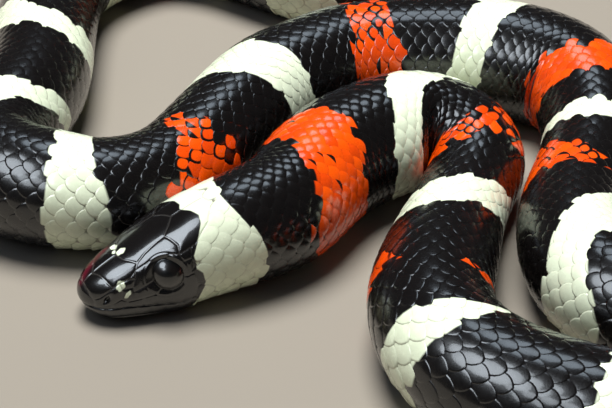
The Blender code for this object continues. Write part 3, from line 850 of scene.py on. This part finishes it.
# the dark red painted reflection over the far side of the snout
colour = mix(tree, amount=extras[1], first=BLACK, second=SNOUT_RED_REFLECTION)
colour = mix(tree, amount=cut(tree, parts[0]), first=colour, second=CREAM)
# the seams get a lighter colour, a painted highlight
colour = mix(tree, amount=extras[0], first=colour, second=SEAM_HIGHLIGHT)
# near-black painted shade in the nostrils and the mouth line
colour = mix(tree, amount=extras[2], first=colour, second=PIT_SHADE)
place = add(tree, "TexCoord").outputs["Object"]
patches = add(tree, "TexNoise", {"Scale": 1 / (2.2 * MM), "Detail": 3.0}, Vector=place).outputs["Fac"]
rough = add(tree, "MapRange", {"To Min": 0.16, "To Max": 0.32}, Value=patches).outputs[0]
tree.links.new(colour, shader.inputs["Base Color"])
tree.links.new(rough, shader.inputs["Roughness"])
shader.inputs["Coat Weight"].default_value = 0.8
shader.inputs["Coat Roughness"].default_value = 0.06
shader.inputs["IOR"].default_value = 1.54
head = make_piece("head_plates", head_points, tube_faces(len(fine), HEAD_SIDES), plate,
                  ["head", "jaw"])
cream, _, _ = markings(np.maximum(run, 0), share)
for at, off, size in FLECKS:
    turned = np.arctan2(side_down - off, run - at)
    uneven = size * (1 + 0.14 * np.sin(2 * turned + 7 * at) + 0.1 * np.sin(5 * turned + 3 * at))
    cream = np.maximum(cream, uneven - np.hypot(run - at, side_down - off))
# painted reflection: a narrow dark red band along the far side of the snout
red = bell(distance_to([RED_REFLECTION_LINE], run, side_down), 0.38)
# the painted highlight of the seams, strongest on the top of the head and faint on its sides
on_top = np.clip((5.4 - down) / 1.2, 0.1, 1)
line = bell(seam, 0.05) * 0.6 * on_top * (1 - behind) * (run > 0.3)
# where the painted shade of the nostril pits and the mouth line falls
pit = np.maximum(bell(nostril, 0.33), bell(mouth, 0.09))
marks = np.stack([as_mark(cream), run * 0, run * 0, run * 0 + 1], axis=1)
write_values(head, "marks", with_ends(marks, HEAD_SIDES))
write_values(head, "extra", with_ends(np.stack([line, red, pit, line * 0 + 1], axis=1), HEAD_SIDES))

# %% [markdown]
# The eye is large, round and nearly black, under a clear scale instead of lids. A ball with a
# dark brown iris and a round pupil does it, turned so that its pole is the middle of the pupil.

# %% The eyes
IRIS, PUPIL = "0D0806", "010101"
wet, tree, shader = new_finish("wet_eye")
off = add(tree, "Attribute", {"attribute_name": "off_axis"}).outputs["Fac"]
edge = add(tree, "MapRange", {"From Min": 0.34, "From Max": 0.4}, Value=off).outputs[0]
rim = add(tree, "MapRange", {"From Min": 0.62, "From Max": 0.8}, Value=off).outputs[0]
colour = mix(tree, amount=edge, first=PUPIL, second=IRIS)
colour = mix(tree, amount=rim, first=colour, second=PUPIL)
tree.links.new(colour, shader.inputs["Base Color"])
shader.inputs["Roughness"].default_value = 0.32
shader.inputs["Coat Weight"].default_value = 1.0
shader.inputs["Coat Roughness"].default_value = 0.06
for side, name in ((1, "eye_left"), (-1, "eye_right")):
    centre, look = eye_place(side)
    bpy.ops.object.select_all(action="DESELECT")
    bpy.ops.mesh.primitive_uv_sphere_add(segments=64, ring_count=32, radius=EYE_RADIUS * MM, location=centre * MM)
    ball = bpy.context.object
    ball.name = name + "_ball"
    ball.rotation_euler = Vector(look).to_track_quat("Z", "Y").to_euler()
    bpy.ops.object.transform_apply(location=True, rotation=True, scale=True)
    bpy.ops.object.shade_smooth()
    places = np.array([v.co for v in ball.data.vertices]) / MM - centre
    write_values(ball, "off_axis", np.linalg.norm(np.cross(places, look), axis=1) / EYE_RADIUS + (places @ look < 0))
    ball.data.materials.append(wet)
    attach(ball, "root")
    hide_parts(name)
    print(ball.name, len(ball.data.polygons), "faces")

# %% [markdown]
# The studio has a plain pale floor and round soft lamps. A large one above, a little behind and
# on the left, lights the animal and the floor but does not show in the gloss. Three weaker bluish
# ones, behind, in front on the left and lower in front on the left, show in the gloss alone and
# give broad highlights on the glossy scales, as daylight does. The world adds a faint light.

# %% The floor and the light
FLOOR = "8E867A"
bpy.ops.object.select_all(action="DESELECT")
bpy.ops.mesh.primitive_plane_add(size=3)
floor = bpy.context.object
floor.name = "floor"
stone, tree, shader = new_finish("pale_matt_floor")
shader.inputs["Base Color"].default_value = linear(FLOOR)
shader.inputs["Roughness"].default_value = 0.85
floor.data.materials.append(stone)


def add_lamp(name, place, size, watts, colour, shade=True, shine=True):
    """A round soft lamp that looks at the middle of the animal. It can light surfaces without
    showing in their gloss, or show in the gloss alone."""
    data = bpy.data.lights.new(name, "AREA")
    data.shape = "DISK"
    data.energy, data.size, data.color = watts, size, colour
    lamp = bpy.data.objects.new(name, data)
    lamp.location = place
    lamp.rotation_euler = (-Vector(place)).to_track_quat("-Z", "Y").to_euler()
    lamp.visible_diffuse, lamp.visible_glossy, lamp.visible_camera = shade, shine, False
    bpy.context.collection.objects.link(lamp)


add_lamp("sky", (-0.06, 0.09, 0.62), 0.36, 8.4, (0.96, 0.98, 1.0), shine=False)
add_lamp("window", (0.0, 0.31, 0.57), 0.28, 0.75, (0.74, 0.87, 1.0), shade=False)
add_lamp("front", (-0.20, -0.11, 0.30), 0.22, 0.95, (0.84, 0.92, 1.0), shade=False)
add_lamp("low_front", (-0.24, -0.38, 0.42), 0.18, 0.5, (0.84, 0.92, 1.0), shade=False)
world = bpy.data.worlds.new("studio")
world.use_nodes = True
world.node_tree.nodes["Background"].inputs[0].default_value = (0.85, 0.9, 1.0, 1)
world.node_tree.nodes["Background"].inputs[1].default_value = 0.04
bpy.context.scene.world = world
bpy.context.scene.view_settings.view_transform = "Standard"
